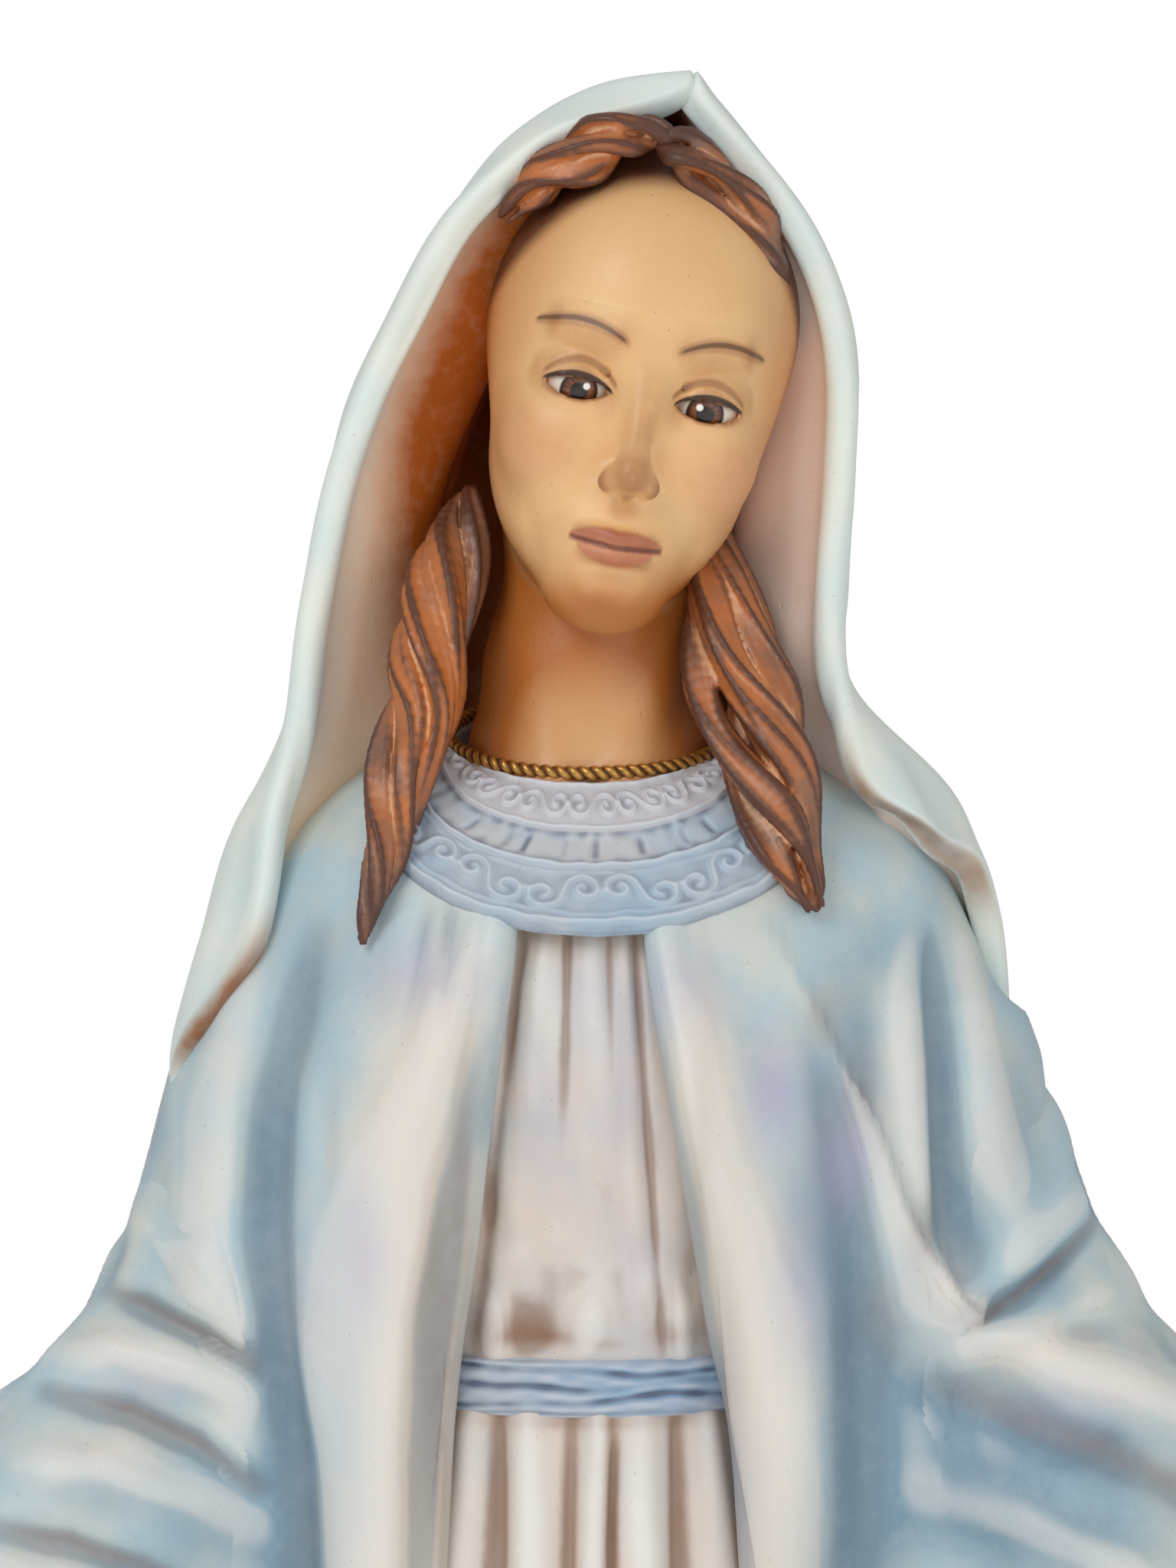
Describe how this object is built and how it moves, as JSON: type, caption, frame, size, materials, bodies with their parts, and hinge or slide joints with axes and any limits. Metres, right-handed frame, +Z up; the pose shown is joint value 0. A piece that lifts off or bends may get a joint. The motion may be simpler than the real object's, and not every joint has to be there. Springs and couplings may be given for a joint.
{
  "type": "madonna statue",
  "caption": "Standing veiled Madonna statue with bowed head and open arms, in a sashed gown and open coat, on a half globe and a round felted plinth.",
  "frame": {"origin": "centre of the felt's underside, on the surface that the statue stands on", "axes": "+Z up, the figure faces -Y, +X is towards the figure's own left hand"},
  "size_m": [0.187, 0.104, 0.4],
  "materials": {
    "painted_flesh": "satin",
    "painted_hair": "satin",
    "painted_veil": "satin",
    "painted_coat": "satin",
    "painted_gown": "satin",
    "painted_sash": "satin",
    "painted_collar": "satin",
    "gilt_paint": "gloss",
    "painted_globe": "satin",
    "painted_plinth": "satin",
    "felt": "matte",
    "steel": "satin"
  },
  "bodies": {
    "root": {"felt_pad": "felt", "plinth": "painted_plinth", "globe": "painted_globe", "gown_skirt": "painted_gown", "gown_bodice": "painted_gown", "sash": "painted_sash", "collar_yoke": "painted_collar", "neck_trim": "gilt_paint", "head": "painted_flesh", "coat": "painted_coat", "veil": "painted_veil", "sleeve_left": "painted_coat", "forearm_left": "painted_gown", "hand_left": "painted_flesh", "foot_left": "painted_flesh", "hair_front_left": "painted_hair", "hair_lock_left": "painted_hair", "sleeve_right": "painted_coat", "forearm_right": "painted_gown", "hand_right": "painted_flesh", "foot_right": "painted_flesh", "hair_front_right": "painted_hair", "hair_lock_right": "painted_hair", "hand_pin_left": "steel", "hand_pin_right": "steel", "neck_pin": "steel", "waist_pin": "steel", "foot_pin_left": "steel", "foot_pin_right": "steel", "globe_pin": "steel"}
  },
  "joints": []
}
